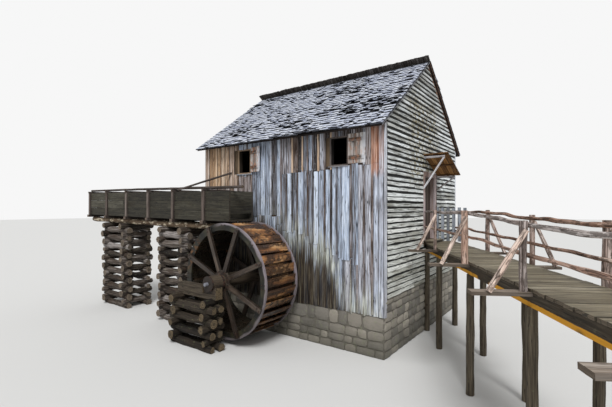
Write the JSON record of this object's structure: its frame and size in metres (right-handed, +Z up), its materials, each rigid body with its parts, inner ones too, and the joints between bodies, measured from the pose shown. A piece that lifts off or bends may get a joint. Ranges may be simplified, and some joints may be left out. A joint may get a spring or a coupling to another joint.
{
  "type": "watermill",
  "caption": "Boarded timber mill house on stone walls with an overshot waterwheel, a flume on log cribs and a railed walkway to its door.",
  "frame": {"origin": "the foot of the house's front right corner, on the lowest ground", "axes": "+X right along the long wheel-side wall, +Y back along the gable, +Z up"},
  "size_m": [17.9229, 11.5842, 8.1964],
  "materials": {
    "fieldstone": "rough fieldstone laid in mortar",
    "upright_boards": "rough-sawn upright boards, weathered blue-grey and brown",
    "clapboards": "lapped boards, weathered grey-green white",
    "floor_boards": "planed floor boards",
    "roof_shakes": "split shakes, weathered silver grey",
    "pale_boards": "pale weathered trim boards",
    "shutter_boards": "grey-brown boards",
    "door_boards": "dark upright boards",
    "black_iron": "forged iron, dull",
    "canopy_boards": "rusty brown boards",
    "wheel_boards": "wet dark brown boards",
    "wheel_timber": "wet brown timber",
    "crib_logs": "split logs, bark off, grey brown",
    "flume_boards": "dark olive-grey wet boards",
    "flume_timber": "purple-brown weathered timber",
    "deck_boards": "grey-brown walked boards",
    "rail_logs": "peeled red-brown poles",
    "picket_boards": "blue-grey boards"
  },
  "bodies": {
    "mill": {"foundation_front_back": "fieldstone", "foundation_ends": "fieldstone", "front_wall": "upright_boards", "back_wall": "upright_boards", "left_gable_wall": "clapboards", "right_wall_near": "clapboards", "right_wall_far": "clapboards", "right_wall_below_door": "clapboards", "right_gable": "clapboards", "main_floor": "floor_boards", "loft_floor": "floor_boards", "roof_front_slope": "roof_shakes", "roof_back_slope": "roof_shakes", "roof_comb": "roof_shakes", "verge_boards": "pale_boards", "corner_boards": "pale_boards", "window_frames": "pale_boards", "door_frame": "pale_boards", "shutter_right": "shutter_boards", "shutter_left": "shutter_boards", "door_pins": "black_iron", "door_canopy": "canopy_boards", "canopy_brackets": "canopy_boards", "wheel_bearings": "wheel_timber", "wheel_pier": "crib_logs", "crib_near": "crib_logs", "crib_far": "crib_logs", "flume_sides": "flume_boards", "flume_bottom": "flume_boards", "flume_end": "flume_boards", "flume_posts": "flume_timber", "flume_ties": "flume_timber", "flume_bearers": "flume_timber", "flume_beams": "flume_timber", "flume_rail_pole": "flume_timber", "gate_lever": "flume_timber", "walkway_deck": "deck_boards", "walkway_stringers": "deck_boards", "walkway_outriggers": "deck_boards", "door_step": "deck_boards", "walkway_posts": "rail_logs", "top_rails": "rail_logs", "lower_rails": "rail_logs", "braces": "rail_logs", "walkway_supports": "rail_logs", "picket_guard": "picket_boards"},
    "wheel": {"shroud_front": "wheel_boards", "shroud_rear": "wheel_boards", "wheel_sole": "wheel_boards", "bucket_risers": "wheel_boards", "bucket_lips": "wheel_boards", "wheel_arms": "wheel_timber", "wheel_axle": "wheel_timber"},
    "door": {"door_leaf": "door_boards", "door_straps": "black_iron"}
  },
  "joints": [
    {"name": "wheel_spin", "type": "hinge", "parent": "mill", "child": "wheel", "pos_m": [-3.912, -1.551, 1.68], "axis": [0, 1, 0], "continuous": true},
    {"name": "door_swing", "type": "hinge", "parent": "mill", "child": "door", "pos_m": [-0.16, 3.617, 2.67], "axis": [0, 0, -1], "range_deg": [0, 100]}
  ]
}
